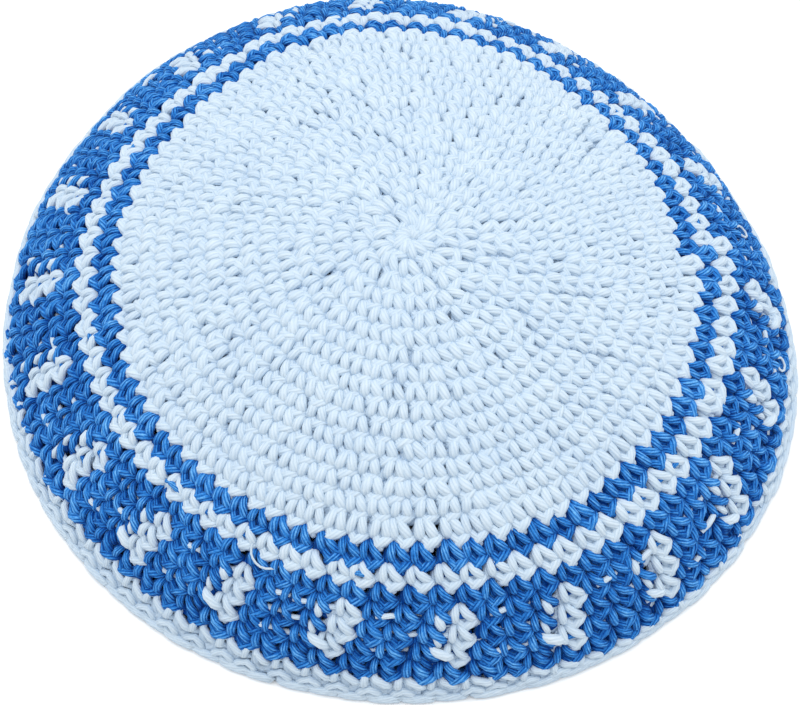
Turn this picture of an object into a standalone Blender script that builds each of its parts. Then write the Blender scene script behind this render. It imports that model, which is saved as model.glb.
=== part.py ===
"""Crocheted skullcap, worked in the round from the middle of the crown out to the rim.

White rounds make the crown. A plain blue round, a plain white round, a blue band and a white
edging follow, and together they turn the flat crown down into the sides of the cap.
Each yarn section is one wall of fabric as thick as the crochet. The cap stands on its rim, so
+Z is up, the rim lies in Z = 0, and the origin is the middle of the outline at the rim.
Lengths are in metres.
"""

import math

import bmesh
import bpy
from mathutils import Vector

# Driving dimensions
RIM_RADIUS = 0.0750
CAP_HEIGHT = 0.0360
FABRIC = 0.0030
COLUMN_GAP = 0.0003

# A round of the band has this many stitches, and the wall has one facet to each of them.
STITCHES_AROUND = 84

# The profile falls by these two terms from the middle of the crown to the rim.
DOME_TERM = 0.64
DOME_POWER = 2
SIDE_TERM = 1 - DOME_TERM
SIDE_POWER = 8

# The soft rim stands as a lopsided oval. Each row is one wave around it, as shares of the radius.
RIM_WAVES = (
    {"waves": 1, "cosine": -0.0400, "sine": 0.0000},
    {"waves": 2, "cosine": 0.0000, "sine": -0.0265},
    {"waves": 3, "cosine": 0.0060, "sine": -0.0110},
)

# Where the crown ends, as a share of the way out to the rim, and how that wanders around it.
CROWN_SHARE = 0.698
CROWN_WAVES = (
    {"waves": 1, "cosine": 0.0074, "sine": -0.0084},
    {"waves": 2, "cosine": -0.0084, "sine": 0.0097},
    {"waves": 3, "cosine": -0.0042, "sine": -0.0019},
)

# The four sections outside the crown. Each ends at a share of the way from crown to rim.
BLUE_ROUND_END = 0.139
WHITE_ROUND_END = 0.261
BAND_END = 0.830

# Sections, from the middle out. Steps is how many flats follow the curve of the profile.
SECTIONS = (
    {"name": "blue_round", "start": 0.0, "end": BLUE_ROUND_END, "steps": 1, "yarn": "blue"},
    {"name": "white_round", "start": BLUE_ROUND_END, "end": WHITE_ROUND_END, "steps": 1, "yarn": "white"},
    {"name": "pattern_band", "start": WHITE_ROUND_END, "end": BAND_END, "steps": 4, "yarn": "blue"},
    {"name": "edging", "start": BAND_END, "end": 1.0, "steps": 2, "yarn": "white"},
)
CROWN_STEPS = 9

YARNS = {
    "white": {"colour": (0.72, 0.84, 0.94, 1.0), "roughness": 0.85},
    "blue": {"colour": (0.03, 0.18, 0.60, 1.0), "roughness": 0.80},
}

ARC_SAMPLES = 400


def clear_scene():
    for old in list(bpy.data.objects):
        bpy.data.objects.remove(old, do_unlink=True)


def yarn_material(name):
    """A cotton yarn's plain finish, made once for each colour."""
    key = name + "_cotton"
    if key in bpy.data.materials:
        return bpy.data.materials[key]
    made = bpy.data.materials.new(key)
    made.use_nodes = True
    shader = made.node_tree.nodes["Principled BSDF"]
    shader.inputs["Base Color"].default_value = YARNS[name]["colour"]
    shader.inputs["Roughness"].default_value = YARNS[name]["roughness"]
    shader.inputs["Metallic"].default_value = 0.0
    return made


def wander(angle, waves):
    """The sum of a table's waves at this angle around the cap."""
    return sum(
        row["cosine"] * math.cos(row["waves"] * angle) + row["sine"] * math.sin(row["waves"] * angle)
        for row in waves
    )


def rim_radius(angle):
    return RIM_RADIUS * (1 + wander(angle, RIM_WAVES))


def crown_share(angle):
    return CROWN_SHARE + wander(angle, CROWN_WAVES)


def height_at(share):
    """Height of the outer surface at a share of the way out to the rim."""
    return CAP_HEIGHT * (1 - DOME_TERM * share**DOME_POWER - SIDE_TERM * share**SIDE_POWER)


def fall_at(share):
    """How fast the outer surface falls there, for each unit of the way out."""
    dome = DOME_TERM * DOME_POWER * share ** (DOME_POWER - 1)
    side = SIDE_TERM * SIDE_POWER * share ** (SIDE_POWER - 1)
    return CAP_HEIGHT * (dome + side)


def arc_table():
    """Pairs of share and arc length along the mean profile, from the middle to the rim."""
    table = [(0.0, 0.0)]
    step = 1 / ARC_SAMPLES
    for i in range(1, ARC_SAMPLES + 1):
        share = i * step
        length = math.hypot(RIM_RADIUS * step, height_at(share) - height_at(share - step))
        table.append((share, table[-1][1] + length))
    return table


ARC = arc_table()


def arc_at(share):
    """Arc length from the middle out to a share."""
    place = min(max(share, 0.0), 1.0) * ARC_SAMPLES
    index = min(int(place), ARC_SAMPLES - 1)
    return ARC[index][1] + (place - index) * (ARC[index + 1][1] - ARC[index][1])


def share_at(arc):
    """The share at which that arc length is reached."""
    low, high = 0, ARC_SAMPLES
    while high - low > 1:
        middle = (low + high) // 2
        if ARC[middle][1] < arc:
            low = middle
        else:
            high = middle
    part = (arc - ARC[low][1]) / (ARC[high][1] - ARC[low][1])
    return (low + part) / ARC_SAMPLES


def angle_of(column):
    return 2 * math.pi * column / STITCHES_AROUND


def outline_middle():
    """Middle of the rim's outline, which is where the origin goes."""
    rim = [
        (rim_radius(angle_of(c)) * math.cos(angle_of(c)), rim_radius(angle_of(c)) * math.sin(angle_of(c)))
        for c in range(STITCHES_AROUND)
    ]
    xs, ys = [p[0] for p in rim], [p[1] for p in rim]
    return (min(xs) + max(xs)) / 2, (min(ys) + max(ys)) / 2


MIDDLE_X, MIDDLE_Y = outline_middle()


def placed(angle, radius, height):
    """A point of the cap from its angle, radius and height."""
    return Vector((radius * math.cos(angle) - MIDDLE_X, radius * math.sin(angle) - MIDDLE_Y, height))


def wall_at(angle, share):
    """The outer and the inner point of the fabric. On the rim both lie on the ground."""
    rim = rim_radius(angle)
    tilt = math.atan2(fall_at(share), rim)
    radius, height = rim * share, height_at(share)
    outer = placed(angle, radius, height)
    if share >= 1.0:
        return outer, placed(angle, radius - FABRIC / math.sin(tilt), 0.0)
    inner = placed(angle, radius - FABRIC * math.sin(tilt), height - FABRIC * math.cos(tilt))
    return outer, inner


def section_shares(angle, start, end, steps):
    """The shares of one section's flats at this angle, spaced evenly along the profile's arc."""
    crown_arc, rim_arc = arc_at(crown_share(angle)), ARC[-1][1]
    first = crown_arc + start * (rim_arc - crown_arc) + COLUMN_GAP / 2
    last = crown_arc + end * (rim_arc - crown_arc) - (COLUMN_GAP / 2 if end < 1 else 0)
    shares = [share_at(first + (last - first) * i / steps) for i in range(steps + 1)]
    if end == 1.0:
        shares[-1] = 1.0
    return shares


def mesh_object(name, shell, yarn):
    """Closes a bmesh into a named object with its yarn's material."""
    bmesh.ops.recalc_face_normals(shell, faces=shell.faces)
    mesh = bpy.data.meshes.new(name)
    shell.to_mesh(mesh)
    shell.free()
    mesh.materials.append(yarn_material(yarn))
    mesh.shade_smooth()
    mesh.set_sharp_from_angle(angle=math.radians(40))
    made = bpy.data.objects.new(name, mesh)
    bpy.context.scene.collection.objects.link(made)
    return made


def bridge(shell, loops):
    """Joins each closed loop of points to the next one around the cap, and the last to the first."""
    for here, after in zip(loops, loops[1:] + loops[:1]):
        count = len(here)
        for i in range(count):
            j = (i + 1) % count
            shell.faces.new((here[i], here[j], after[j], after[i]))


def make_section(name, start, end, steps, yarn):
    """A ring of fabric: a closed wall section at each column, bridged all the way round."""
    shell = bmesh.new()
    loops = []
    for column in range(STITCHES_AROUND):
        angle = angle_of(column)
        walls = [wall_at(angle, share) for share in section_shares(angle, start, end, steps)]
        around = [outer for outer, _ in walls] + [inner for _, inner in reversed(walls)]
        loops.append([shell.verts.new(point) for point in around])
    bridge(shell, loops)
    return mesh_object(name, shell, yarn)


def crown_points(angle):
    """One column of the crown, from the middle out to its edge: outer points, then inner ones."""
    edge_arc = arc_at(crown_share(angle)) - COLUMN_GAP / 2
    shares = [share_at(edge_arc * i / CROWN_STEPS) for i in range(1, CROWN_STEPS + 1)]
    walls = [wall_at(angle, share) for share in shares]
    return [outer for outer, _ in walls], [inner for _, inner in walls]


def make_crown():
    """The dished disc of white rounds, a closed wall with a pole at the middle of each face."""
    shell = bmesh.new()
    outer_pole = shell.verts.new(placed(0.0, 0.0, CAP_HEIGHT))
    inner_pole = shell.verts.new(placed(0.0, 0.0, CAP_HEIGHT - FABRIC))
    columns = []
    for column in range(STITCHES_AROUND):
        outer, inner = crown_points(angle_of(column))
        columns.append([shell.verts.new(p) for p in outer + inner[::-1]])
    for here, after in zip(columns, columns[1:] + columns[:1]):
        shell.faces.new((outer_pole, here[0], after[0]))
        shell.faces.new((inner_pole, after[-1], here[-1]))
        for i in range(len(here) - 1):
            shell.faces.new((here[i], here[i + 1], after[i + 1], after[i]))
    return mesh_object("crown", shell, "white")


def main():
    clear_scene()
    make_crown()
    for section in SECTIONS:
        make_section(**section)


main()
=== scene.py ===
# %% [markdown]
# # A crocheted skullcap, stitch by stitch
#
# This cap is one long yarn, worked in a spiral from the middle of the crown out to the rim. It is
# white, then blue with short white bars, then white again. Up close nothing on it is a smooth
# surface: all that shows is yarn, bent into the same stitch more than fourteen hundred times.
#
# So the script draws the yarn of one stitch as a few short lists of points, and lets Geometry Nodes
# repeat it and wrap it over the dome. Each colour gets one yarn material.

# %% Load the frame
import math
import random

import bpy
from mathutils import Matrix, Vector


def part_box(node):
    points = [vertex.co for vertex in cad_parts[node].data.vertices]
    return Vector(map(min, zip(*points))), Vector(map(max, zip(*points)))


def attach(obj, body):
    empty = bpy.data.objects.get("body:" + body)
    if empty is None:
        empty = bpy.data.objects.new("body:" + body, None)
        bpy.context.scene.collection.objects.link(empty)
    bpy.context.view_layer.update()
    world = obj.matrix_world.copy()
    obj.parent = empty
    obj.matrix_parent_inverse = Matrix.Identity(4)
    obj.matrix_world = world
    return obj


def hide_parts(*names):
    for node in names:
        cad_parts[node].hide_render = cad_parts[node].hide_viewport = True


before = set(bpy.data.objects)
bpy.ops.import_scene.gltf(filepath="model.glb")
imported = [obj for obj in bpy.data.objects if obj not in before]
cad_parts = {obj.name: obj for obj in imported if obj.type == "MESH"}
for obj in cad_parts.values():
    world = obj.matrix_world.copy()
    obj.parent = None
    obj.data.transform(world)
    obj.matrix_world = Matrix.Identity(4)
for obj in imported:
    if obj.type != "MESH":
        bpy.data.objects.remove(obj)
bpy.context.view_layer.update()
MM = 0.001

# %% [markdown]
# ## The shape of the dome
#
# The frame's walls already have the right form. The yarn has to follow them, so the script needs
# that form as a rule and not as a mesh: how high the cap is, and how wide, at each share of the way
# from the middle out to the rim. These are the frame's own driving dimensions. The cell checks them
# against the frame's highest point, because a stitch that leaves the frame's box is a fault. The
# cell prints the rule's top beside the frame's highest point.

# %% The dome as a rule
RIM_RADIUS = 75.0 * MM
CAP_HEIGHT = 36.0 * MM
FABRIC = 3.0 * MM
DOME_TERM, DOME_POWER = 0.64, 2
SIDE_TERM, SIDE_POWER = 0.36, 8

# The soft rim is a lopsided oval. Each row is one wave around it, as shares of the radius.
RIM_WAVES = (
    {"waves": 1, "cosine": -0.0400, "sine": 0.0000},
    {"waves": 2, "cosine": 0.0000, "sine": -0.0265},
    {"waves": 3, "cosine": 0.0060, "sine": -0.0110},
)
FULL_TURN = 2 * math.pi
# The frame's walls have this many corners around them.
FRAME_COLUMNS = 84
ARC_STEPS = 400


def rim_share(angle):
    """How wide the rim is at this angle, against a plain circle."""
    total = 1.0
    for row in RIM_WAVES:
        wave = row["waves"] * angle
        total += row["cosine"] * math.cos(wave) + row["sine"] * math.sin(wave)
    return total


def height_at(share):
    return CAP_HEIGHT * (1 - DOME_TERM * share**DOME_POWER - SIDE_TERM * share**SIDE_POWER)


def middle_of_outline():
    """The frame's origin is the middle of its rim, so the same shift is found here."""
    angles = [FULL_TURN * c / FRAME_COLUMNS for c in range(FRAME_COLUMNS)]
    xs = [RIM_RADIUS * rim_share(a) * math.cos(a) for a in angles]
    ys = [RIM_RADIUS * rim_share(a) * math.sin(a) for a in angles]
    return (min(xs) + max(xs)) / 2, (min(ys) + max(ys)) / 2


def arc_table():
    """Arc length from the middle out, at even steps of the share."""
    lengths = [0.0]
    for i in range(1, ARC_STEPS + 1):
        fall = height_at(i / ARC_STEPS) - height_at((i - 1) / ARC_STEPS)
        lengths.append(lengths[-1] + math.hypot(RIM_RADIUS / ARC_STEPS, fall))
    return lengths


ARC = arc_table()
RIM_ARC = ARC[-1]
MIDDLE_X, MIDDLE_Y = middle_of_outline()


def share_at(arc):
    """The share of the way out at which an arc length is reached."""
    for i in range(1, ARC_STEPS + 1):
        if ARC[i] >= arc:
            return (i - 1 + (arc - ARC[i - 1]) / (ARC[i] - ARC[i - 1])) / ARC_STEPS
    return 1.0


print("arc from middle to rim, mm:", round(RIM_ARC / MM, 1))
frame_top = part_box("crown")[1][2]
print("top of frame and of rule, mm:", round(frame_top / MM, 2), round(height_at(0) / MM, 2))

# %% [markdown]
# ## Node trees written as sums
#
# Wrapping a flat strip over a dome takes dozens of Math nodes. Adding each by hand hides the
# formula, so this small class lets Python's own signs add them: `a * b + 1` makes a Multiply node
# and an Add node. It works in a material's tree as well as in a geometry tree.


# %% A number that flows through a node tree
class Flow:
    """An output socket that can be used in sums. Each sum adds one Math node to its tree."""

    def __init__(self, tree, socket):
        self.tree, self.socket = tree, socket

    def math(self, operation, *values):
        node = self.tree.nodes.new("ShaderNodeMath")
        node.operation = operation
        for slot, value in zip(node.inputs, values):
            if isinstance(value, Flow):
                self.tree.links.new(value.socket, slot)
            else:
                slot.default_value = value
        return Flow(self.tree, node.outputs[0])

    def __add__(self, other):
        return self.math("ADD", self, other)

    def __radd__(self, other):
        return self.math("ADD", other, self)

    def __sub__(self, other):
        return self.math("SUBTRACT", self, other)

    def __rsub__(self, other):
        return self.math("SUBTRACT", other, self)

    def __mul__(self, other):
        return self.math("MULTIPLY", self, other)

    def __rmul__(self, other):
        return self.math("MULTIPLY", other, self)

    def __truediv__(self, other):
        return self.math("DIVIDE", self, other)

    def __rtruediv__(self, other):
        return self.math("DIVIDE", other, self)

    def __pow__(self, other):
        return self.math("POWER", self, other)

    def sine(self):
        return self.math("SINE", self)

    def cosine(self):
        return self.math("COSINE", self)


def add_node(tree, kind, inputs=(), **settings):
    """Adds a node, sets its options, and feeds its named inputs with values or links."""
    node = tree.nodes.new(kind)
    for name, value in settings.items():
        setattr(node, name, value)
    for name, value in dict(inputs).items():
        slot = node.inputs[name]
        if isinstance(value, Flow):
            tree.links.new(value.socket, slot)
        elif isinstance(value, bpy.types.NodeSocket):
            tree.links.new(value, slot)
        else:
            slot.default_value = value
    return node


# %% [markdown]
# ## The yarn of one stitch
#
# A single crochet stitch shows as two legs that leave one hole and spread outwards, like a peaked
# roof. Behind them the same yarn comes and goes. On top lie a front loop and a back loop, and the
# next round's stitch is worked through under them, so only a plump bit of each peeps out beside
# the legs.
#
# The paths are written as points. `along` counts stitches along the round, `out` counts rounds from
# the hole outwards, and `lift` runs from -1 at the inside of the fabric to 1 at its outside.
# `plump` is how thick the yarn is there, because pulled yarn gets thin and slack yarn swells. Legs,
# loops and back have a chart each, because a colour change comes between them.

# %% Charts of the stitch
LEFT_LEG = (
    {"along": 0.00, "out": 0.30, "lift": -0.60, "plump": 0.9},
    {"along": -0.10, "out": 0.01, "lift": -0.10, "plump": 0.85},
    {"along": -0.13, "out": 0.11, "lift": 0.75, "plump": 0.92},
    {"along": -0.16, "out": 0.28, "lift": 1.15, "plump": 1.0},
    {"along": -0.18, "out": 0.46, "lift": 1.20, "plump": 1.1},
    {"along": -0.17, "out": 0.63, "lift": 0.80, "plump": 1.08},
    {"along": -0.10, "out": 0.76, "lift": 0.00, "plump": 0.95},
    {"along": 0.06, "out": 0.80, "lift": -0.55, "plump": 0.9},
)
RIGHT_LEG = (
    {"along": 0.10, "out": 0.30, "lift": -0.60, "plump": 0.9},
    {"along": 0.10, "out": 0.01, "lift": -0.10, "plump": 0.85},
    {"along": 0.14, "out": 0.11, "lift": 0.75, "plump": 0.92},
    {"along": 0.21, "out": 0.28, "lift": 1.15, "plump": 1.0},
    {"along": 0.32, "out": 0.46, "lift": 1.25, "plump": 1.1},
    {"along": 0.44, "out": 0.63, "lift": 0.95, "plump": 1.08},
    {"along": 0.53, "out": 0.77, "lift": 0.15, "plump": 0.95},
    {"along": 0.46, "out": 0.88, "lift": -0.55, "plump": 0.9},
)
BACK = (
    {"along": -0.68, "out": 1.00, "lift": -0.85, "plump": 1.4},
    {"along": -0.44, "out": 0.88, "lift": -0.75, "plump": 1.4},
    {"along": -0.33, "out": 0.50, "lift": -0.60, "plump": 1.4},
    {"along": -0.16, "out": 0.12, "lift": -0.60, "plump": 1.1},
    {"along": 0.10, "out": 0.14, "lift": -0.60, "plump": 1.2},
    {"along": 0.18, "out": 0.55, "lift": -0.50, "plump": 1.45},
    {"along": 0.28, "out": 0.88, "lift": -0.70, "plump": 1.4},
    {"along": 0.60, "out": 1.03, "lift": -0.85, "plump": 1.4},
)
FRONT_LOOP = (
    {"along": 0.60, "out": 0.72, "lift": -0.60, "plump": 0.9},
    {"along": 0.62, "out": 0.80, "lift": 0.00, "plump": 0.95},
    {"along": 0.50, "out": 0.88, "lift": 0.70, "plump": 1.15},
    {"along": 0.30, "out": 1.00, "lift": 0.95, "plump": 1.28},
    {"along": 0.10, "out": 1.13, "lift": 0.75, "plump": 1.15},
    {"along": -0.02, "out": 1.20, "lift": 0.05, "plump": 0.95},
    {"along": 0.08, "out": 1.10, "lift": -0.60, "plump": 1.1},
    {"along": 0.45, "out": 1.00, "lift": -0.80, "plump": 1.4},
    {"along": 0.85, "out": 1.02, "lift": -0.85, "plump": 1.4},
    {"along": 1.10, "out": 1.00, "lift": -0.90, "plump": 1.3},
)
BACK_LOOP = (
    {"along": -0.12, "out": 0.66, "lift": -0.50, "plump": 0.9},
    {"along": -0.04, "out": 0.78, "lift": 0.40, "plump": 1.0},
    {"along": 0.07, "out": 0.95, "lift": 0.75, "plump": 1.12},
    {"along": 0.16, "out": 1.13, "lift": 0.65, "plump": 1.1},
    {"along": 0.23, "out": 1.29, "lift": -0.10, "plump": 0.95},
)
# The last round has no stitches worked into it, so its top loops lie along the rim as a chain.
RIM_ARCH = (
    {"along": -0.34, "out": 0.90, "lift": 0.00, "plump": 0.8},
    {"along": -0.30, "out": 0.78, "lift": 0.75, "plump": 0.85},
    {"along": -0.16, "out": 0.67, "lift": 0.90, "plump": 0.88},
    {"along": 0.02, "out": 0.60, "lift": 0.90, "plump": 0.88},
    {"along": 0.18, "out": 0.67, "lift": 0.90, "plump": 0.88},
    {"along": 0.28, "out": 0.78, "lift": 0.75, "plump": 0.85},
    {"along": 0.31, "out": 0.90, "lift": 0.00, "plump": 0.8},
)
RIM_CHAIN = (
    {"along": 0.10, "out": 0.80, "lift": -0.60, "plump": 0.75},
    {"along": -0.06, "out": 0.86, "lift": 0.30, "plump": 0.75},
    {"along": 0.06, "out": 0.92, "lift": 0.80, "plump": 0.8},
    {"along": 0.36, "out": 0.95, "lift": 0.95, "plump": 0.82},
    {"along": 0.68, "out": 0.95, "lift": 0.95, "plump": 0.82},
    {"along": 0.98, "out": 0.93, "lift": 0.80, "plump": 0.8},
    {"along": 1.12, "out": 0.97, "lift": 0.75, "plump": 0.75},
    {"along": 0.80, "out": 1.03, "lift": 0.80, "plump": 0.8},
    {"along": 0.40, "out": 1.05, "lift": 0.85, "plump": 0.85},
    {"along": 0.05, "out": 1.03, "lift": 0.70, "plump": 0.8},
    {"along": -0.05, "out": 0.96, "lift": 0.10, "plump": 0.75},
)
# The colour that a stitch isn't worked in is carried along inside it. White shows between blue
# stitches as a short dash, and blue shows between the legs of white ones.
CARRIED_BETWEEN = (
    {"along": 0.20, "out": 0.66, "lift": -0.20, "plump": 0.9},
    {"along": 0.42, "out": 0.58, "lift": 0.35, "plump": 1.0},
    {"along": 0.62, "out": 0.52, "lift": 0.75, "plump": 1.15},
    {"along": 0.80, "out": 0.50, "lift": 0.45, "plump": 1.0},
    {"along": 1.05, "out": 0.55, "lift": -0.20, "plump": 0.9},
)
CARRIED_INSIDE = (
    {"along": -0.35, "out": 0.62, "lift": -0.20, "plump": 0.9},
    {"along": -0.12, "out": 0.52, "lift": 0.20, "plump": 1.0},
    {"along": 0.10, "out": 0.50, "lift": 0.55, "plump": 1.15},
    {"along": 0.32, "out": 0.56, "lift": 0.20, "plump": 1.0},
    {"along": 0.55, "out": 0.62, "lift": -0.20, "plump": 0.9},
)
# At a colour change the last pull of a stitch is already the next colour. Its top loop is then
# white and stands upright, as a dot beside the bar.
CHANGE_DOT = (
    {"along": 0.16, "out": 0.44, "lift": -0.30, "plump": 0.85},
    {"along": 0.16, "out": 0.53, "lift": 0.70, "plump": 0.95},
    {"along": 0.18, "out": 0.68, "lift": 1.35, "plump": 1.18},
    {"along": 0.21, "out": 0.85, "lift": 1.30, "plump": 1.2},
    {"along": 0.25, "out": 0.99, "lift": 0.50, "plump": 1.0},
    {"along": 0.38, "out": 1.02, "lift": -0.60, "plump": 1.0},
    {"along": 0.90, "out": 1.00, "lift": -0.85, "plump": 1.4},
)
# Beside the lowest bar it is drawn over to the bar, as an arm.
CHANGE_ARM = (
    {"along": 0.34, "out": 0.12, "lift": -0.30, "plump": 0.8},
    {"along": 0.37, "out": 0.20, "lift": 0.90, "plump": 0.95},
    {"along": 0.48, "out": 0.31, "lift": 1.55, "plump": 1.2},
    {"along": 0.64, "out": 0.45, "lift": 1.70, "plump": 1.3},
    {"along": 0.82, "out": 0.58, "lift": 1.30, "plump": 1.15},
    {"along": 0.95, "out": 0.70, "lift": 0.20, "plump": 0.95},
    {"along": 1.00, "out": 0.86, "lift": -0.85, "plump": 1.4},
)
# Threads that have worked loose: a bow that hangs across two stitches, and a small ring.
LOOSE_BOW = (
    {"along": -0.40, "out": 0.60, "lift": 0.60, "plump": 0.8},
    {"along": -0.44, "out": 0.90, "lift": 1.90, "plump": 1.0},
    {"along": -0.20, "out": 1.35, "lift": 2.30, "plump": 1.0},
    {"along": 0.22, "out": 1.60, "lift": 2.30, "plump": 1.0},
    {"along": 0.60, "out": 1.50, "lift": 2.00, "plump": 1.0},
    {"along": 0.82, "out": 1.34, "lift": 0.80, "plump": 0.8},
)
LOOSE_RING = (
    {"along": 0.05, "out": 0.35, "lift": 0.60, "plump": 0.8},
    {"along": -0.18, "out": 0.45, "lift": 1.70, "plump": 1.0},
    {"along": -0.26, "out": 0.75, "lift": 2.10, "plump": 1.0},
    {"along": 0.00, "out": 0.98, "lift": 2.20, "plump": 1.0},
    {"along": 0.24, "out": 0.80, "lift": 2.10, "plump": 1.0},
    {"along": 0.20, "out": 0.50, "lift": 1.70, "plump": 1.0},
    {"along": 0.08, "out": 0.38, "lift": 0.60, "plump": 0.8},
)


def chart_curve(name, points):
    """A smooth curve through a chart's points, kept out of the finished scene."""
    curve = bpy.data.curves.new(name, "CURVE")
    curve.dimensions = "3D"
    spline = curve.splines.new("BEZIER")
    spline.bezier_points.add(len(points) - 1)
    for knot, row in zip(spline.bezier_points, points):
        knot.co = (row["along"], row["out"], row["lift"])
        knot.radius = row["plump"]
        knot.handle_left_type = knot.handle_right_type = "AUTO"
    made = bpy.data.objects.new(name, curve)
    bpy.context.scene.collection.objects.link(made)
    return made


# The legs of the last round end half way down it. An arch and the chain take the rest.
RIM_SHARE = 0.56
RIM_GIRTH = 0.86
RIM_SPREAD = 1.3
RIM_BACK = 0.82
# In the crown the legs stand more upright and are spread evenly, so its rounds read as rings.
UPRIGHT_LENGTH = 0.98
UPRIGHT_LEAN = 0.64
UPRIGHT_GIRTH = 1.13
UPRIGHT_STEP = 0.10
UPRIGHT_LIFT = 0.88


def scaled(points, out, along=1.0, plump=1.0, step=0.0, lift=1.0):
    """A chart made longer, wider, plumper or flatter by these shares, and moved along by a step."""
    shares = {"out": out, "along": along, "lift": lift, "plump": plump}
    made = [{name: row[name] * shares[name] for name in row} for row in points]
    return tuple({**row, "along": row["along"] + step} for row in made)


def upright(points, step):
    return scaled(points, UPRIGHT_LENGTH, UPRIGHT_LEAN, UPRIGHT_GIRTH, step, UPRIGHT_LIFT)


CROWN_LEFT_LEG = upright(LEFT_LEG, -UPRIGHT_STEP)
CROWN_RIGHT_LEG = upright(RIGHT_LEG, UPRIGHT_STEP)
RIM_LEFT_LEG = scaled(LEFT_LEG, RIM_SHARE, 1.0, RIM_GIRTH)
RIM_RIGHT_LEG = scaled(RIGHT_LEG, RIM_SHARE, RIM_SPREAD, RIM_GIRTH)
# For each strand: its path, the points it keeps of that path, and the sides of its cross-section.
STRANDS = (
    {"strand": "left_leg", "path": LEFT_LEG, "points": 9, "sides": 8},
    {"strand": "right_leg", "path": RIGHT_LEG, "points": 9, "sides": 8},
    {"strand": "crown_left_leg", "path": CROWN_LEFT_LEG, "points": 9, "sides": 8},
    {"strand": "crown_right_leg", "path": CROWN_RIGHT_LEG, "points": 9, "sides": 8},
    {"strand": "back", "path": BACK, "points": 9, "sides": 5},
    {"strand": "front_loop", "path": FRONT_LOOP, "points": 10, "sides": 8},
    {"strand": "back_loop", "path": BACK_LOOP, "points": 6, "sides": 7},
    {"strand": "rim_left_leg", "path": RIM_LEFT_LEG, "points": 8, "sides": 8},
    {"strand": "rim_right_leg", "path": RIM_RIGHT_LEG, "points": 8, "sides": 8},
    {"strand": "rim_back", "path": scaled(BACK, RIM_BACK), "points": 9, "sides": 5},
    {"strand": "rim_arch", "path": RIM_ARCH, "points": 9, "sides": 7},
    {"strand": "rim_chain", "path": RIM_CHAIN, "points": 15, "sides": 7},
    {"strand": "change_dot", "path": CHANGE_DOT, "points": 11, "sides": 8},
    {"strand": "change_arm", "path": CHANGE_ARM, "points": 11, "sides": 8},
    {"strand": "carried_between", "path": CARRIED_BETWEEN, "points": 6, "sides": 7},
    {"strand": "carried_inside", "path": CARRIED_INSIDE, "points": 6, "sides": 7},
    {"strand": "loose_bow", "path": LOOSE_BOW, "points": 18, "sides": 6},
    {"strand": "loose_ring", "path": LOOSE_RING, "points": 18, "sides": 6},
)
charts = {
    row["strand"]: {**row, "curve": chart_curve("chart_" + row["strand"], row["path"])}
    for row in STRANDS
}
strand_faces = {name: (row["points"] - 1) * row["sides"] for name, row in charts.items()}
print("faces of each strand:", strand_faces)

# %% [markdown]
# ## The spiral
#
# The rounds aren't closed rings. The yarn climbs steadily, so each round starts where the last one
# ended, one round further out, and where a colour starts the edge has a small step. `reach` gives
# the arc length from the middle after so many turns. Every stitch then lies between the reach of
# its own turn and the reach one turn later.
#
# The crown grows by about five stitches a round. From its edge on, the rounds stay at 86, and the
# stitches get wider instead as the cap widens towards the rim. The start of each band colour has a
# sharp step, so the further out a round is, the later in its turn it climbs.
#
# Handwork isn't even either. A short table of pulls says how far the fabric strays from a true
# circle at some angles around the cap, and a smooth walk through it gives all the others.

# %% How far out the yarn is after each turn
CROWN_ROUNDS = 16
CROWN_GROWTH, CROWN_START = 5.35, 0.6
BAND_STITCHES = 86
# Each round ends a little before it has gone all the way round, so the stitches lean.
SLIP = 0.22
CROWN_ARC = 52.4 * MM
YARN_RADIUS = 0.74 * MM
# The white cotton is a little fluffier than the blue.
WHITE_RADIUS = 0.83 * MM
# The first stitches are drawn together round one small hole.
START_HOLE = 0.4 * MM
# How far from the rim's edge the last loop's middle lies, and so where the spiral ends.
RIM_INSET = 1.1 * MM
LAST_ARC = RIM_ARC - RIM_INSET
# Where the spiral ends, the last blue round climbs this far into the edging, and how suddenly.
LAST_CLIMB = 4.5 * MM
LAST_POWER = 24

# A colour is changed one stitch later each time, so the first two rings have one stitch more. The
# edging takes what is left up to the rim, so it has no height of its own.
BAND_ROUNDS = (
    {"round": "blue start", "height": 4.2 * MM, "stitches": 87},
    {"round": "white ring", "height": 3.9 * MM, "stitches": 87},
    {"round": "plain blue", "height": 4.4 * MM, "stitches": 86},
    {"round": "bars 1", "height": 3.9 * MM, "stitches": 86},
    {"round": "bars 2", "height": 3.9 * MM, "stitches": 86},
    {"round": "bars 3", "height": 3.9 * MM, "stitches": 86},
    {"round": "last blue", "height": 4.0 * MM, "stitches": 86},
    {"round": "edging", "height": 0.0, "stitches": 86},
)


def crown_count(number):
    """Stitches in a round of the crown, which ends at the band's own count."""
    return min(BAND_STITCHES, round(CROWN_GROWTH * number + CROWN_START))


crown_turns = sum(crown_count(n) / (crown_count(n) + SLIP) for n in range(1, CROWN_ROUNDS + 1))


def reach(turns):
    """Arc length from the middle to the spiral after this many turns."""
    crown_step = CROWN_ARC / crown_turns
    if turns <= crown_turns:
        return max(crown_step * (turns - math.exp(-turns)), START_HOLE)
    past = turns - crown_turns
    whole = int(past)
    last = len(BAND_ROUNDS)
    if whole >= last:
        return LAST_ARC
    start = CROWN_ARC + sum(row["height"] for row in BAND_ROUNDS[:whole])
    if whole == last - 1:
        return start + LAST_CLIMB * (past - whole) ** LAST_POWER
    lateness = max(1, whole)
    return start + BAND_ROUNDS[whole]["height"] * (past - whole) ** lateness


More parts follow.
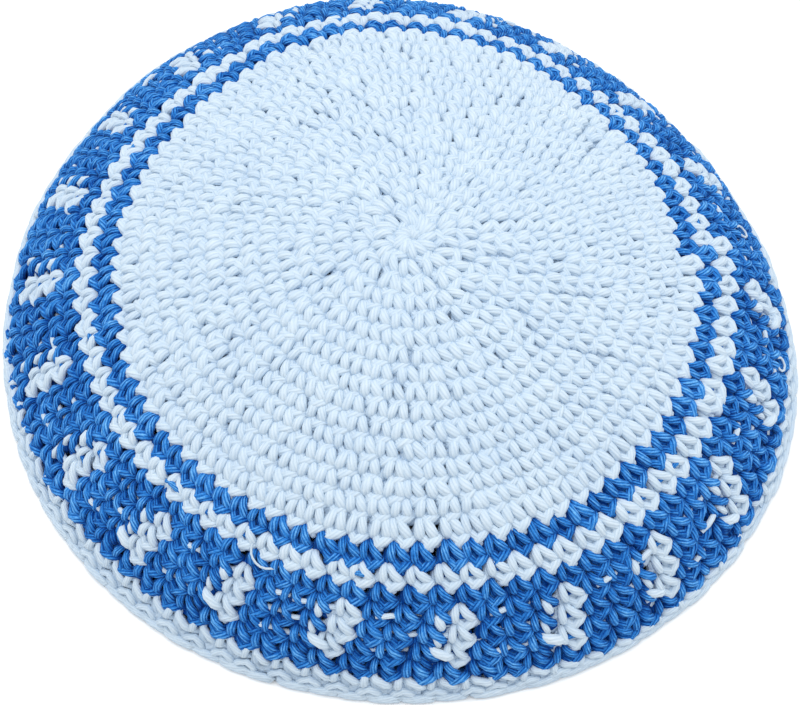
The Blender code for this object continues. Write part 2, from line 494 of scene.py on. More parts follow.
# At these angles, in degrees, the crown's edge and the edging's start lie this many millimetres
# further out than the spiral says, and the stitches lie so many degrees further round. The edging
# tucks under where the band bulges.
PULLED = (
    {"at": 3, "crown": -0.6, "edging": 2.0, "turned": 0.0},
    {"at": 12, "crown": 0.2, "edging": 3.0, "turned": 0.0},
    {"at": 26, "crown": 1.5, "edging": 3.5, "turned": 0.0},
    {"at": 60, "crown": 0.8, "edging": 0.0, "turned": 2.6},
    {"at": 94, "crown": -0.4, "edging": 0.0, "turned": 3.7},
    {"at": 111, "crown": -1.2, "edging": 0.0, "turned": 3.6},
    {"at": 126, "crown": -2.5, "edging": -1.0, "turned": 3.0},
    {"at": 142, "crown": -2.5, "edging": 1.0, "turned": 2.0},
    {"at": 156, "crown": -1.3, "edging": 2.5, "turned": 0.8},
    {"at": 171, "crown": -1.1, "edging": 4.4, "turned": -0.4},
    {"at": 182, "crown": -1.5, "edging": 5.6, "turned": -0.7},
    {"at": 200, "crown": -0.9, "edging": 1.5, "turned": -1.0},
    {"at": 215, "crown": -0.4, "edging": 0.2, "turned": -1.4},
    {"at": 242, "crown": 0.0, "edging": 0.2, "turned": -2.3},
    {"at": 262, "crown": 0.0, "edging": 0.9, "turned": -2.1},
    {"at": 279, "crown": 0.0, "edging": 1.95, "turned": -0.4},
    {"at": 300, "crown": -0.9, "edging": 4.4, "turned": -0.4},
    {"at": 320, "crown": -2.3, "edging": 4.0, "turned": -0.4},
    {"at": 333, "crown": -2.2, "edging": 1.7, "turned": -0.4},
    {"at": 348, "crown": -2.0, "edging": -0.2, "turned": -0.4},
)


def pulled(angle, column):
    """A smooth walk through the table at this angle."""
    degrees = math.degrees(angle) % 360
    for row, after in zip(PULLED, PULLED[1:] + PULLED[:1]):
        gap = (after["at"] - row["at"]) % 360
        past = (degrees - row["at"]) % 360
        if past <= gap:
            ease = (1 - math.cos(math.pi * past / gap)) / 2
            return row[column] + ease * (after[column] - row[column])
    return 0.0


EDGING_ARC = CROWN_ARC + sum(row["height"] for row in BAND_ROUNDS)


def pulled_reach(turns, angle):
    """The spiral's reach, moved by how the fabric is pulled at this angle."""
    arc = reach(turns)
    crown, edging = pulled(angle, "crown") * MM, pulled(angle, "edging") * MM
    if arc <= CROWN_ARC:
        return arc + crown * (arc / CROWN_ARC) ** 2
    if arc <= EDGING_ARC:
        share = (arc - CROWN_ARC) / (EDGING_ARC - CROWN_ARC)
        return arc + crown * (1 - share) + edging * share
    left = (LAST_ARC - arc) / (LAST_ARC - EDGING_ARC)
    return arc + edging * left


def pulled_angle(turns, angle):
    """The angle of a stitch, moved round by how the fabric is pulled."""
    share = min(1.0, reach(turns) / CROWN_ARC) ** 2
    return angle + math.radians(pulled(angle, "turned")) * share


print("turns in the crown:", round(crown_turns, 2))
edge_reach, rim_reach = reach(crown_turns), reach(crown_turns + len(BAND_ROUNDS))
print("reach at the crown's edge and rim, mm:", round(edge_reach / MM, 1), round(rim_reach / MM, 1))

# %% [markdown]
# ## The plan of stitches
#
# Each stitch becomes one row of a plan: at what angle it stands, how wide it is, where it starts
# and ends on the way out, and how far it strays from the ideal, because hand tension varies. A
# fixed seed makes the stray the same on every run.
#
# A stitch's head takes an even share of its round, but its foot goes into the top loop of a stitch
# one round before. Where the round grows, two feet share one loop, so the stitches fan out. The
# plan looks up the nearest loop for each foot and draws the foot part of the way to it. That is
# what keeps the crown from showing spokes.

# %% Lay out every stitch
import bisect

SEAM_ANGLE = math.radians(5.3)
TENSION_SEED = 18
# Where a top loop can be worked into, in stitches past its own stitch, and how far the foot obeys.
LOOP_PLACE = 0.66
FOOT_PULL = 0.45
# How much stitches stray: in stitches along, in lean, in thickness and in lift.
STRAY = {"shift": 0.04, "slant": 0.09, "girth": 0.06, "raise": 0.12}
tension = random.Random(TENSION_SEED)


def worked_angle(turns):
    return SEAM_ANGLE + (turns - crown_turns) * FULL_TURN


def plan_stitch(turns, count, round_name, loops):
    """One stitch after so many turns, in a round of this many stitches."""
    angle = worked_angle(turns)
    width = FULL_TURN / (count + SLIP)
    foot = 0.0
    under = angle - FULL_TURN
    if loops and under > loops[0]:
        place = bisect.bisect(loops, under)
        nearest = min(loops[max(0, place - 1) : place + 1], key=lambda loop: abs(loop - under))
        foot = FOOT_PULL * (nearest - under)
    return {
        "round": round_name,
        "angle": pulled_angle(turns, angle),
        "width": width,
        "foot": foot,
        "inner": share_at(pulled_reach(turns, angle)),
        "outer": share_at(pulled_reach(turns + 1, angle)),
        "shift": tension.gauss(0, STRAY["shift"]),
        "slant": tension.gauss(0, STRAY["slant"]),
        "girth": 1 + tension.gauss(0, STRAY["girth"]),
        "raise": tension.gauss(0, STRAY["raise"]),
    }


BAR_REPEAT = 4
BAR_ROUNDS = ("bars 1", "bars 2", "bars 3")
# How much deeper top loops lie where the next round's stitches draw them in, and beside a dot.
CROWN_TUCK = 0.25
BLUE_TUCK = 0.20
DOT_TUCK = 0.45
# The edging's right legs push the last blue loops in and along.
EDGING_TUCK = 0.05
EDGING_PUSH = 0.22


def loop_tuck(name, number, dotted):
    """How much deeper the top loops of a stitch in this round lie."""
    if dotted:
        return DOT_TUCK
    if name == "last blue":
        return EDGING_TUCK
    if number < CROWN_ROUNDS:
        return CROWN_TUCK
    return BLUE_TUCK if name in ("plain blue", *BAR_ROUNDS) else 0.0


def bar_at(name, column):
    """Whether this stitch is white: every fourth one is, in three rounds of the band."""
    return name in BAR_ROUNDS and column > 0 and column % BAR_REPEAT == 0


def plan_cap():
    """Every stitch of the cap in the order that it is worked."""
    rows, loops, turns = [], [], 0.0
    made = [{"round": f"crown {n}", "stitches": crown_count(n)} for n in range(1, CROWN_ROUNDS + 1)]
    for number, ring in enumerate(made + list(BAND_ROUNDS), start=1):
        around = crown_count(number)
        for column in range(ring["stitches"]):
            stitch = plan_stitch(turns, around, ring["round"], loops)
            stitch["bar"] = bar_at(ring["round"], column)
            stitch["dotted"] = bar_at(ring["round"], column + 1)
            stitch["tuck"] = loop_tuck(ring["round"], number, stitch["dotted"])
            stitch["push"] = EDGING_PUSH if ring["round"] == "last blue" else 0.0
            rows.append(stitch)
            loops.append(worked_angle(turns) + LOOP_PLACE * stitch["width"])
            turns += 1 / (around + SLIP)
    return rows


plan = plan_cap()
print("stitches in the cap:", len(plan))

# %% [markdown]
# ## The tree that knits
#
# The tree stands one chart on every point of a plan, makes the copies real, and bends them: along
# the round becomes an angle, out becomes the way down the dome, and lift becomes depth in the
# fabric. Soft lumps and a stop at the table's height follow. Then a ring, swept along the path,
# makes it round yarn with closed ends. Legs get a ring of eight sides and hidden yarn fewer, since
# each is repeated about 1,400 times.
#
# Three attributes go with it for the material: where a point lies around the yarn, how far along
# it, and how far it is from the middle of the fabric, from which the material paints shade.

# %% Build the tree
PLAN_NUMBERS = ("angle", "width", "foot", "inner", "outer", "shift", "slant", "girth", "raise")
LUMP_SIZE = 26.0 * MM
LUMP_HEIGHT = 0.9 * MM
# How fully yarn obeys the pull to its loop: in the middle of the fabric, how much more at its face,
# and the least that any yarn does.
OBEYS_INSIDE, OBEYS_MORE, OBEYS_LEAST = 0.6, 0.5, 0.2


def read_number(tree, name):
    node = add_node(tree, "GeometryNodeInputNamedAttribute", {"Name": name}, data_type="FLOAT")
    return Flow(tree, node.outputs["Attribute"])


def combine(tree, x, y, z):
    return add_node(tree, "ShaderNodeCombineXYZ", {"X": x, "Y": y, "Z": z}).outputs[0]


def vector_math(tree, operation, first, second):
    return add_node(tree, "ShaderNodeVectorMath", {0: first, 1: second}, operation=operation)


def rim_flow(angle):
    """rim_share, written for a node tree."""
    total = 1.0
    for row in RIM_WAVES:
        for size, wave in ((row["cosine"], Flow.cosine), (row["sine"], Flow.sine)):
            if size:
                total = total + size * wave(angle * row["waves"])
    return total


def wrap_over_dome(tree, position):
    """The place on the dome for flat stitch coordinates, the way out there, and the depth."""
    apart = add_node(tree, "ShaderNodeSeparateXYZ", {"Vector": position})
    along, out, lift = (Flow(tree, socket) for socket in apart.outputs)
    along = along + read_number(tree, "shift") + out * read_number(tree, "slant")
    lift = lift + read_number(tree, "raise")
    inner, outer = read_number(tree, "inner"), read_number(tree, "outer")
    from_head = out.math("MAXIMUM", 1 - out, 0.0)
    # Only the yarn at the face is pulled to its loop. The yarn inside stays evenly spread.
    obeys = lift.math("MAXIMUM", lift * OBEYS_MORE + OBEYS_INSIDE, OBEYS_LEAST)
    obeys = lift.math("MINIMUM", obeys, 1.0)
    foot = from_head * obeys * read_number(tree, "foot")
    angle = read_number(tree, "angle") + along * read_number(tree, "width") + foot
    share = inner + out * (outer - inner)
    rim = rim_flow(angle) * RIM_RADIUS
    # How steeply the dome falls here is the slope of height_at.
    dome_slope = DOME_TERM * DOME_POWER * share ** (DOME_POWER - 1)
    side_slope = SIDE_TERM * SIDE_POWER * share ** (SIDE_POWER - 1)
    fall = CAP_HEIGHT * (dome_slope + side_slope)
    length = (fall * fall + rim * rim) ** 0.5
    from_middle = lift * (FABRIC / 2 - YARN_RADIUS)
    depth = from_middle - FABRIC / 2
    radius = rim * share + depth * fall / length
    height = CAP_HEIGHT * (1 - DOME_TERM * share**DOME_POWER - SIDE_TERM * share**SIDE_POWER)
    height = height + depth * rim / length
    across = radius * angle.cosine() - MIDDLE_X
    away = radius * angle.sine() - MIDDLE_Y
    place = combine(tree, across, away, height)
    sideways = fall / length
    outward = combine(tree, sideways * angle.cosine(), sideways * angle.sine(), rim / length)
    return place, outward, from_middle


def soft_lumps(tree, position):
    """A gentle unevenness, as cloth that has been worn and put down has."""
    settings = {"Vector": position, "Scale": 1 / LUMP_SIZE, "Detail": 1.0}
    noise = add_node(tree, "ShaderNodeTexNoise", settings)
    centred = vector_math(tree, "SUBTRACT", noise.outputs["Color"], (0.5, 0.5, 0.5))
    sized = {0: centred.outputs[0], "Scale": LUMP_HEIGHT}
    return add_node(tree, "ShaderNodeVectorMath", sized, operation="SCALE").outputs[0]


def above_table(tree, girth):
    """The same place, but never so low that yarn of this girth would sink into the table."""
    here = add_node(tree, "GeometryNodeInputPosition")
    apart = add_node(tree, "ShaderNodeSeparateXYZ", {"Vector": here.outputs[0]})
    height = girth.math("MAXIMUM", Flow(tree, apart.outputs["Z"]), girth)
    return combine(tree, apart.outputs["X"], apart.outputs["Y"], height)


def store(tree, geometry, name, value, kind="FLOAT"):
    """Writes a value on every point under a name, and hands the geometry on."""
    written = {"Geometry": geometry, "Name": name, "Value": value}
    settings = {"data_type": kind, "domain": "POINT"}
    return add_node(tree, "GeometryNodeStoreNamedAttribute", written, **settings).outputs[0]


def read_vector(tree, name):
    settings = {"data_type": "FLOAT_VECTOR"}
    node = add_node(tree, "GeometryNodeInputNamedAttribute", {"Name": name}, **settings)
    return node.outputs["Attribute"]


def moved(tree, geometry, **where):
    """The geometry with a new position or an offset."""
    return add_node(tree, "GeometryNodeSetPosition", {"Geometry": geometry, **where}).outputs[0]


def height_in_fabric(tree):
    """How far a point of the yarn's surface is from the middle of the fabric, against its face."""
    here = add_node(tree, "GeometryNodeInputPosition")
    from_core = vector_math(tree, "SUBTRACT", here.outputs[0], read_vector(tree, "core"))
    outward = read_vector(tree, "outward")
    outwards = vector_math(tree, "DOT_PRODUCT", from_core.outputs[0], outward)
    height = read_number(tree, "from_middle") + Flow(tree, outwards.outputs["Value"])
    return height / (FABRIC / 2)


TREE_INPUTS = {
    "Plan": "NodeSocketGeometry",
    "Chart": "NodeSocketObject",
    "Points": "NodeSocketInt",
    "Sides": "NodeSocketInt",
    "Yarn radius": "NodeSocketFloat",
    "Material": "NodeSocketMaterial",
}


def stitch_tree():
    """A chart on every point of a plan, bent over the dome and swept into yarn."""
    tree = bpy.data.node_groups.new("lay_stitches", "GeometryNodeTree")
    tree.is_modifier = True
    for name, kind in TREE_INPUTS.items():
        tree.interface.new_socket(name, in_out="INPUT", socket_type=kind)
    tree.interface.new_socket("Yarn", in_out="OUTPUT", socket_type="NodeSocketGeometry")
    given = tree.nodes.new("NodeGroupInput").outputs
    chart = add_node(tree, "GeometryNodeObjectInfo", {"Object": given["Chart"]})
    kept = {"Curve": chart.outputs["Geometry"], "Count": given["Points"]}
    path = add_node(tree, "GeometryNodeResampleCurve", kept)
    stood = {"Points": given["Plan"], "Instance": path.outputs[0]}
    copies = add_node(tree, "GeometryNodeInstanceOnPoints", stood)
    real = add_node(tree, "GeometryNodeRealizeInstances", {"Geometry": copies.outputs[0]})
    # Instancing adds the plan point's own place, so the plan keeps all of its points at the origin.
    flat = add_node(tree, "GeometryNodeInputPosition")
    place, outward, from_middle = wrap_over_dome(tree, flat.outputs[0])
    noted = store(tree, real.outputs[0], "outward", outward, "FLOAT_VECTOR")
    noted = store(tree, noted, "from_middle", from_middle)
    placed = moved(tree, noted, Position=place)
    here = add_node(tree, "GeometryNodeInputPosition").outputs[0]
    bent = moved(tree, placed, Offset=soft_lumps(tree, here))
    plump = Flow(tree, add_node(tree, "GeometryNodeInputRadius").outputs[0])
    girth = read_number(tree, "girth") * Flow(tree, given["Yarn radius"]) * plump
    lying = moved(tree, bent, Position=above_table(tree, girth))
    marked = store(tree, lying, "core", here, "FLOAT_VECTOR")
    # Each stitch reads the yarn's pattern from another place, so that no two look the same.
    spot = add_node(tree, "GeometryNodeSplineParameter")
    along = Flow(tree, spot.outputs["Length"]) + read_number(tree, "angle")
    marked = store(tree, marked, "yarn_along", along)
    circle = {"Resolution": given["Sides"], "Radius": 1.0}
    ring = add_node(tree, "GeometryNodeCurvePrimitiveCircle", circle)
    ring_marked = store(tree, ring.outputs["Curve"], "yarn_around", here, "FLOAT_VECTOR")
    swept = {"Curve": marked, "Profile Curve": ring_marked, "Scale": girth, "Fill Caps": True}
    tube = add_node(tree, "GeometryNodeCurveToMesh", swept)
    # The material paints shade by this height in the fabric.
    measured = store(tree, tube.outputs[0], "yarn_height", height_in_fabric(tree))
    smooth = add_node(tree, "GeometryNodeSetShadeSmooth", {"Geometry": measured})
    whole = add_node(tree, "GeometryNodeRealizeInstances", {"Geometry": smooth.outputs[0]})
    dress = {"Geometry": whole.outputs[0], "Material": given["Material"]}
    dressed = add_node(tree, "GeometryNodeSetMaterial", dress)
    tree.links.new(dressed.outputs[0], tree.nodes.new("NodeGroupOutput").inputs["Yarn"])
    return tree


lay_stitches = stitch_tree()
print("nodes in the tree:", len(lay_stitches.nodes))

# %% [markdown]
# ## Cotton yarn
#
# The yarn is soft cotton of a few loosely twisted plies. Real plies in the mesh would take several
# times its faces, so the material draws them. A wave that winds around the yarn like a screw thread
# gives their ridges, and a noise on the same helix gives the strands in each ply. Both raise the
# bump and shade the colour: the grooves get painted shade and the tops of the plies a painted
# highlight, and the strands are partly the fibres' own streaky tone as well.
#
# Yarn in the middle of the fabric lies in the dark between its neighbours, so its colour is
# darkened there too, as painted shade. A fine noise stands for the fibres and a broad one for
# uneven dye. Sheen stands for the loose fibres that catch light where the yarn turns away. It is a
# plain value on the shader, so it survives an export.

# %% The yarn material
PLIES = 8
# How far the plies turn around the yarn for each step along it, as a slope.
TWIST_SLOPE = 0.30
# A power below 1 makes the ridges broad and the grooves narrow.
RIDGE_POWER = 0.8
STRAND = 1.1 * MM
STRAND_STRETCH, STRAND_SCALE, STRAND_CONTRAST = 0.25, 3.2, 2.0
FIBRE = 0.30 * MM
DYE_PATCH = 7.0 * MM
# How much each of these lightens the yarn, and how dark it is without them. The depth in the fabric
# paints shade between the yarns, the ply ridges paint shade in the grooves and a highlight on the
# tops, and the strands partly do the same. Fuzz and dye are the yarn's own uneven tone.
LIGHTENS = {"painted_depth_shade": 0.65, "ridge": 0.50, "strands": 0.60, "fuzz": 0.60, "dye": 0.5}
DARKNESS = 0.52
# How much each of these stands up in the bump, and how high that is.
STANDS_UP = {"ridge": 0.9, "strands": 0.35, "fuzz": 0.4}
BUMP_HEIGHT = 0.22 * MM
COTTON = {
    "Roughness": 0.85,
    "Specular IOR Level": 0.05,
    "Sheen Weight": 0.25,
    "Sheen Roughness": 0.45,
}


def read_share(tree, name):
    return Flow(tree, add_node(tree, "ShaderNodeAttribute", attribute_name=name).outputs["Fac"])


def centred_noise(tree, place, scale):
    """A noise that goes up and down around zero."""
    settings = {"Vector": place, "Scale": scale, "Detail": 2.0}
    return Flow(tree, add_node(tree, "ShaderNodeTexNoise", settings).outputs["Fac"]) - 0.5


def yarn_material(name, painted_shade_tone, middle, painted_highlight_tone, sheen, relief):
    """Cotton yarn in three tones, from painted shade in its hollows to a painted highlight on the
    tops of its plies.
    """
    made = bpy.data.materials.new(name)
    made.use_nodes = True
    tree = made.node_tree
    shader = tree.nodes["Principled BSDF"]
    around = add_node(tree, "ShaderNodeAttribute", attribute_name="yarn_around")
    along, height = read_share(tree, "yarn_along"), read_share(tree, "yarn_height")
    apart = add_node(tree, "ShaderNodeSeparateXYZ", {"Vector": around.outputs["Vector"]})
    beside, above = (Flow(tree, apart.outputs[side]) for side in ("X", "Y"))
    turn = above.math("ARCTAN2", above, beside) + along * (TWIST_SLOPE / YARN_RADIUS)
    wave = (turn * (PLIES / 2)).cosine()
    ridge = wave.math("ABSOLUTE", wave) ** RIDGE_POWER
    # The same helix carries a noise, stretched along the yarn, for the strands of each ply.
    helix = combine(tree, turn.cosine(), turn.sine(), along * (STRAND_STRETCH / STRAND))
    strands = centred_noise(tree, helix, STRAND_SCALE) * STRAND_CONTRAST
    place = add_node(tree, "ShaderNodeTexCoord").outputs["Object"]
    fuzz = centred_noise(tree, place, 1 / FIBRE)
    dye = centred_noise(tree, place, 1 / DYE_PATCH)
    # Painted shade: yarn near the middle of the fabric and in the grooves between plies gets a
    # darker colour, and the tops of the plies get a painted highlight.
    light = height.math("ABSOLUTE", height) * LIGHTENS["painted_depth_shade"] + ridge * LIGHTENS["ridge"]
    light = light + strands * LIGHTENS["strands"] + fuzz * LIGHTENS["fuzz"] - DARKNESS
    tone = add_node(tree, "ShaderNodeValToRGB", {"Fac": light + dye * LIGHTENS["dye"]})
    stops = tone.color_ramp.elements
    stops.new(0.5)
    for stop, colour in zip(stops, (painted_shade_tone, middle, painted_highlight_tone)):
        stop.color = (*colour, 1.0)
    tree.links.new(tone.outputs["Color"], shader.inputs["Base Color"])
    raised = ridge * STANDS_UP["ridge"] + strands * STANDS_UP["strands"] + fuzz * STANDS_UP["fuzz"]
    relief_map = {"Height": raised, "Strength": relief, "Distance": BUMP_HEIGHT}
    bump = add_node(tree, "ShaderNodeBump", relief_map)
    tree.links.new(bump.outputs["Normal"], shader.inputs["Normal"])
    for socket, value in COTTON.items():
        shader.inputs[socket].default_value = value
    shader.inputs["Sheen Tint"].default_value = (*sheen, 1.0)
    return made


# Each yarn's darkest tone is painted shade for its hollows and grooves, and its lightest is a
# painted highlight on its plies. Fuzz and dye move along the same tones as real uneven colour.
white_yarn = yarn_material(
    "white_cotton_yarn",
    painted_shade_tone=(0.49, 0.615, 0.755),
    middle=(0.555, 0.67, 0.775),
    painted_highlight_tone=(0.63, 0.73, 0.82),
    sheen=(0.80, 0.90, 1.0),
    relief=0.45,
)
blue_yarn = yarn_material(
    "blue_cotton_yarn",
    painted_shade_tone=(0.0, 0.045, 0.28),
    middle=(0.030, 0.22, 0.65),
    painted_highlight_tone=(0.20, 0.53, 0.94),
    sheen=(0.25, 0.60, 1.0),
    relief=0.85,
)
YARN_RADII = {white_yarn.name: WHITE_RADIUS, blue_yarn.name: YARN_RADIUS}
print("materials:", white_yarn.name, blue_yarn.name)

# %% [markdown]
# ## Working the rounds
#
# A plan is a mesh with a point for each stitch and no faces. Its numbers are attributes of those
# points. The helper makes that mesh, hangs the tree on it, and keeps the evaluated result as a
# plain mesh without the plan's numbers, which it no longer needs.
#
# A piece joins several of these, one for each strand of its stitches. The crown is split in three
# along the spiral, so that no piece gets too heavy to work with.


# %% From a plan to a mesh
TREE_NOTES = ("outward", "from_middle", "core")


def plan_object(rows):
    """A mesh of loose points, one for each row of the plan."""
    mesh = bpy.data.meshes.new("plan")
    mesh.from_pydata([(0, 0, 0)] * len(rows), [], [])
    for name in PLAN_NUMBERS:
        values = mesh.attributes.new(name, "FLOAT", "POINT")
        values.data.foreach_set("value", [row[name] for row in rows])
    made = bpy.data.objects.new("plan", mesh)
    bpy.context.scene.collection.objects.link(made)
    return made


def set_inputs(modifier, **values):
    """Sets a modifier's inputs by their sockets' identifiers."""
    for socket in modifier.node_group.interface.items_tree:
        key = socket.name.lower().replace(" ", "_")
        if socket.in_out == "INPUT" and key in values:
            modifier[socket.identifier] = values[key]


def worked(rows, strand, material, radius=None):
    """One strand of these stitches as a plain mesh."""
    chart = charts[strand]
    radius = radius or YARN_RADII[material.name]
    holder = plan_object(rows)
    modifier = holder.modifiers.new("lay_stitches", "NODES")
    modifier.node_group = lay_stitches
    set_inputs(
        modifier,
        chart=chart["curve"],
        points=chart["points"],
        sides=chart["sides"],
        yarn_radius=radius,
        material=material,
    )
    evaluated = holder.evaluated_get(bpy.context.evaluated_depsgraph_get())
    mesh = bpy.data.meshes.new_from_object(evaluated)
    bpy.data.objects.remove(holder, do_unlink=True)
    for name in (*PLAN_NUMBERS, *TREE_NOTES):
        if name in mesh.attributes:
            mesh.attributes.remove(mesh.attributes[name])
    return mesh


def joined_piece(name, meshes):
    """One object at the origin that holds all of the meshes."""
    parts = []
    for mesh in meshes:
        part = bpy.data.objects.new(name, mesh)
        bpy.context.scene.collection.objects.link(part)
        parts.append(part)
    piece = parts[0]
    if len(parts) > 1:
        chosen = {"active_object": piece, "object": piece, "selected_editable_objects": parts}
        with bpy.context.temp_override(**chosen):
            bpy.ops.object.join()
    piece.name = piece.data.name = name
    triangles = sum(len(face.vertices) - 2 for face in piece.data.polygons)
    print(f"{name}: {triangles} triangles")
    return piece


LEGS = ("left_leg", "right_leg")
CROWN_LEGS = ("crown_left_leg", "crown_right_leg")


def stitch_meshes(rows, material, radius=None, legs=LEGS):
    """The strands of whole stitches. A stitch before a bar has a dot in place of its front loop."""
    tucked = [
        {**row, "raise": row["raise"] - row["tuck"], "shift": row["shift"] + row["push"]}
        for row in rows
    ]
    whole = [row for row in tucked if not row["dotted"]]
    strands = [worked(rows, strand, material, radius) for strand in (*legs, "back")]
    strands.append(worked(tucked, "back_loop", material, radius))
    strands.append(worked(whole, "front_loop", material, radius))
    return strands


def stitches_piece(name, rows, material, legs=LEGS):
    return joined_piece(name, stitch_meshes(rows, material, legs=legs))


# %% The crown, in three pieces
crown_rows = [row for row in plan if row["round"].startswith("crown")]
third = len(crown_rows) // 3
middle_rows, inner_rows = crown_rows[:third], crown_rows[third : 2 * third]
outer_rows = crown_rows[2 * third :]
crown_middle = stitches_piece("crown_middle_yarn", middle_rows, white_yarn, CROWN_LEGS)
crown_inner = stitches_piece("crown_inner_yarn", inner_rows, white_yarn, CROWN_LEGS)
crown_outer = stitches_piece("crown_outer_yarn", outer_rows, white_yarn, CROWN_LEGS)


# %% The plain rounds
def rounds(*names):
    """The plan of the rounds with these names."""
    return [row for row in plan if row["round"] in names]


blue_ring = stitches_piece("blue_round_yarn", rounds("blue start"), blue_yarn)
white_ring = stitches_piece("white_round_yarn", rounds("white ring"), white_yarn)
rim_strands = [name for name in charts if name.startswith("rim_")]
edging_meshes = [worked(rounds("edging"), strand, white_yarn) for strand in rim_strands]
edging = joined_piece("edging_yarn", edging_meshes)

# %% [markdown]
# ## The band and its bars
#
# In the middle three rounds of the band every fourth stitch is white. The maker changes colour at
# the last pull of the stitch before, so that stitch's top loop is white too. It shows as a dot
# beside the bar's top stitch, is mostly hidden beside the middle one, and beside the lowest one it
# is often drawn over to the bar as an arm. Dot and arm are charts of their own. 86 stitches can't
# be shared out in fours, so one gap at the seam is wider.

# %% Bars in the band
band_rows = rounds("plain blue", *BAR_ROUNDS, "last blue")


def band_piece(name, rows):
    """The blue stitches of some rounds of the band."""
    return stitches_piece(name, [row for row in rows if not row["bar"]], blue_yarn)


band_upper = band_piece("pattern_band_upper_yarn", rounds("plain blue", "bars 1", "bars 2"))
band_lower = band_piece("pattern_band_lower_yarn", rounds("bars 3", "last blue"))
bar_rows = [row for row in band_rows if row["bar"]]
# The blue stitches press the white ones as thin as they are themselves.
BAR_RADIUS = YARN_RADIUS
DOT_GIRTH = {"bars 1": 0.92, "bars 2": 0.66, "bars 3": 0.60}
DOT_STRAY = 0.07
# The arms show from this angle on, in degrees, as far as the seam.
ARMS_FROM = 215


def has_arm(row):
    return row["round"] == "bars 3" and math.degrees(row["angle"]) % 360 > ARMS_FROM


def dot_row(row):
    """A dot's row of the plan: its stitch's own row, with the dot's girth and some stray."""
    girth = 1.0 if has_arm(row) else DOT_GIRTH[row["round"]]
    return {
        **row,
        "girth": girth * (1 + tension.gauss(0, DOT_STRAY)),
        "shift": row["shift"] + tension.gauss(0, DOT_STRAY),
    }


dots = [dot_row(row) for row in band_rows if row["dotted"]]
lone_dots = [row for row in dots if not has_arm(row)]
arms = [row for row in dots if has_arm(row)]
white_meshes = stitch_meshes(bar_rows, white_yarn, BAR_RADIUS)
white_meshes.append(worked(lone_dots, "change_dot", white_yarn, BAR_RADIUS))
white_meshes.append(worked(arms, "change_arm", white_yarn, BAR_RADIUS))
bars = joined_piece("white_bars", white_meshes)
print("bars:", len(bar_rows) // len(BAR_ROUNDS), "dots:", len(lone_dots), "arms:", len(arms))

# %% [markdown]
# ## Carried and loose yarn
#
# The colour that isn't in use is carried along inside the stitches, out of sight, until it is
# needed again. It never hides completely: between the blue stitches it peeps out as short white
# dashes. Each stitch gets its own depth for it, so that about half of the dashes show.
#
# Three thin threads have worked loose, one as a bow and two as small rings. They are short and held
# at both ends, so they are written as charts like the rest of the yarn.

# %% Carried yarn
CARRIED_RADIUS = 0.50 * MM
CARRIED_DEPTH, CARRIED_STRAY = -0.5, 0.7


def carried(rows):
    """Carried yarn is pulled tighter in some stitches than in others."""
    return [{**row, "raise": tension.gauss(CARRIED_DEPTH, CARRIED_STRAY)} for row in rows]


plain_rows = [row for row in band_rows if row["round"] in BAR_ROUNDS and not row["bar"]]
white_inside = carried(plain_rows)
blue_inside = carried(rounds("white ring") + bar_rows)
white_dashes = worked(white_inside, "carried_between", white_yarn, CARRIED_RADIUS)
blue_dashes = worked(blue_inside, "carried_inside", blue_yarn, CARRIED_RADIUS)
carried_white = joined_piece("carried_white_yarn", [white_dashes])
carried_blue = joined_piece("carried_blue_yarn", [blue_dashes])

# %% Loose threads
LOOSE_RADIUS = 0.22 * MM
# Where a thread has worked loose: its form, the round, and the angle in degrees.
LOOSE_PLACES = (
    {"form": "loose_bow", "round": "white ring", "at": 245.0},
    {"form": "loose_ring", "round": "bars 3", "at": 349.5},
    {"form": "loose_ring", "round": "bars 2", "at": 14.0},
)


def nearest_stitch(name, degrees):
    """The stitch of a round that stands closest to an angle."""

    def away(row):
        return abs((math.degrees(row["angle"]) - degrees + 180) % 360 - 180)

    return min(rounds(name), key=away)


thread_meshes = []
for place in LOOSE_PLACES:
    held_in = [nearest_stitch(place["round"], place["at"])]
    thread_meshes.append(worked(held_in, place["form"], white_yarn, LOOSE_RADIUS))
loose_threads = joined_piece("loose_threads", thread_meshes)

# %% [markdown]
# ## Hand the pieces to the frame
#
# The cap is one body, so every piece rides on the root. Each yarn piece stands for the solid wall
# that it covers, which stays behind for collision and is hidden here.

# %% Ride and hide the walls
REPLACED = (
    (crown_middle, ("crown",), "white_cotton"),
    (crown_inner, (), "white_cotton"),
    (crown_outer, (), "white_cotton"),
    (blue_ring, ("blue_round",), "blue_cotton"),
    (white_ring, ("white_round",), "white_cotton"),
    (band_upper, ("pattern_band",), "blue_cotton"),
    (band_lower, (), "blue_cotton"),
    (bars, (), "white_cotton"),
    (carried_white, (), "white_cotton"),
    (carried_blue, (), "blue_cotton"),
    (edging, ("edging",), "white_cotton"),
    (loose_threads, (), "white_cotton"),
)
for piece, nodes, slot_name in REPLACED:
    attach(piece, "root")
    if nodes:
        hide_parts(*nodes)
for chart in charts.values():
    bpy.data.objects.remove(chart["curve"], do_unlink=True)

# %% [markdown]
# ## Floor, light and camera
#
# The cap stands on a plain pale table in soft light. One large lamp, high above and a little
# behind, gives the stitches their shape. Two weak lamps at the sides lift the steep parts of the
# band, and a bright surrounding fills the shadows.


# %% The floor
FLOOR_SIZE = 3.0
TABLE_COLOUR = (0.93, 0.94, 0.95, 1.0)
TABLE_ROUGHNESS = 0.9


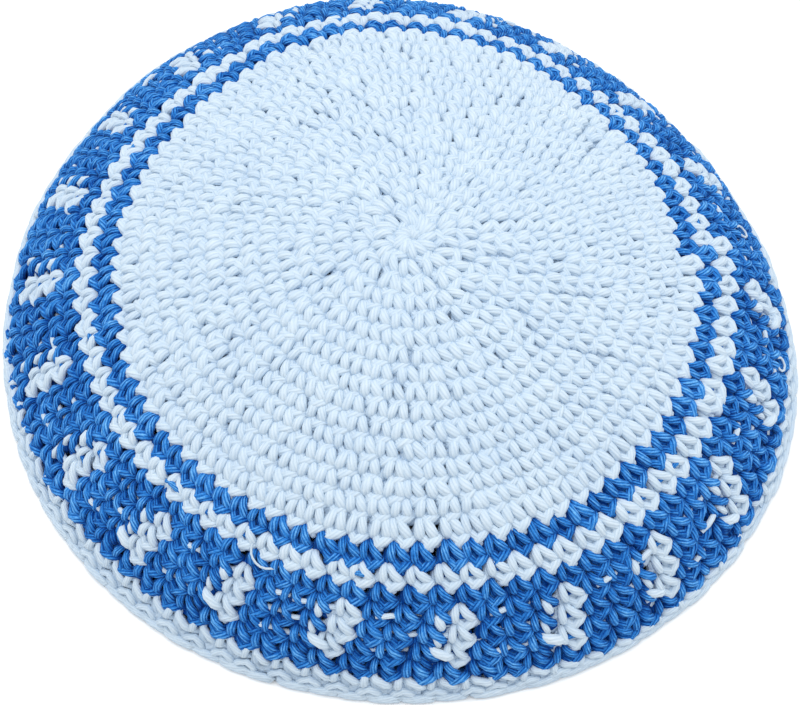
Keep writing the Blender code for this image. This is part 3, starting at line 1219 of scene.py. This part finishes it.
def flat_floor():
    mesh = bpy.data.meshes.new("floor")
    half = FLOOR_SIZE / 2
    corners = [(-half, -half, 0), (half, -half, 0), (half, half, 0), (-half, half, 0)]
    mesh.from_pydata(corners, [], [(0, 1, 2, 3)])
    made = bpy.data.objects.new("floor", mesh)
    bpy.context.scene.collection.objects.link(made)
    paint = bpy.data.materials.new("pale_table")
    paint.use_nodes = True
    shader = paint.node_tree.nodes["Principled BSDF"]
    shader.inputs["Base Color"].default_value = TABLE_COLOUR
    shader.inputs["Roughness"].default_value = TABLE_ROUGHNESS
    mesh.materials.append(paint)
    return made


floor = flat_floor()


# %% The lights
def soft_lamp(name, place, aim, size, watts):
    """A round area lamp that points at the aim. The larger it is, the softer its shadows."""
    data = bpy.data.lights.new(name, "AREA")
    data.shape = "DISK"
    data.size = size
    data.energy = watts
    lamp = bpy.data.objects.new(name, data)
    lamp.location = place
    lamp.rotation_euler = (Vector(aim) - Vector(place)).to_track_quat("-Z", "Y").to_euler()
    bpy.context.scene.collection.objects.link(lamp)
    return lamp


AIM = (0.0, 0.0, 0.01)
# Places and sizes are in metres and strengths in watts.
LAMPS = (
    {"name": "key_lamp", "place": (-0.03, 0.18, 0.95), "size": 1.2, "watts": 7.4},
    {"name": "right_lamp", "place": (0.75, -0.05, 0.30), "size": 0.5, "watts": 0.8},
    {"name": "left_lamp", "place": (-0.75, -0.05, 0.30), "size": 0.5, "watts": 0.6},
)
SKY_STRENGTH = 0.72
lamps = [soft_lamp(row["name"], row["place"], AIM, row["size"], row["watts"]) for row in LAMPS]

world = bpy.data.worlds.new("studio")
world.use_nodes = True
sky = world.node_tree.nodes["Background"]
sky.inputs["Color"].default_value = (1.0, 1.0, 1.0, 1.0)
sky.inputs["Strength"].default_value = SKY_STRENGTH
bpy.context.scene.world = world
# The standard view keeps the yarn's blues as strong as the photograph's.
bpy.context.scene.view_settings.view_transform = "Standard"
print("lamps:", [lamp.name for lamp in lamps], "sky:", SKY_STRENGTH)

# %% [markdown]
# ## The camera
#
# The photograph looks down at the cap at a little over 60 degrees, from about 45 cm. The picture is
# 800 pixels wide, so the lens follows from how many pixels one radius of the cap covers at that
# distance.

# %% Place the camera
PITCH = math.radians(62.5)
DISTANCE = 6.0 * RIM_RADIUS
FOCAL_PIXELS = 2377.0
IMAGE_WIDTH = 800
SENSOR = 36.0
# How far the cap's middle lies from the middle of the picture, sideways and upwards.
SIDE_STEP = 0.0283 * RIM_RADIUS
UP_STEP = 0.0504 * RIM_RADIUS

looking = Vector((0, math.cos(PITCH), -math.sin(PITCH)))
camera_up = Vector((0, math.sin(PITCH), math.cos(PITCH)))
camera_data = bpy.data.cameras.new("camera")
camera_data.sensor_width = SENSOR
camera_data.lens = FOCAL_PIXELS / IMAGE_WIDTH * SENSOR
camera = bpy.data.objects.new("camera", camera_data)
picture_middle = -looking * DISTANCE - Vector((SIDE_STEP, 0, 0)) - camera_up * UP_STEP
camera.location = picture_middle - Vector((MIDDLE_X, MIDDLE_Y, 0))
camera.rotation_euler = looking.to_track_quat("-Z", "Y").to_euler()
bpy.context.scene.collection.objects.link(camera)
bpy.context.scene.camera = camera
print("camera lens, mm:", round(camera_data.lens, 1), "at", [round(v, 3) for v in camera.location])
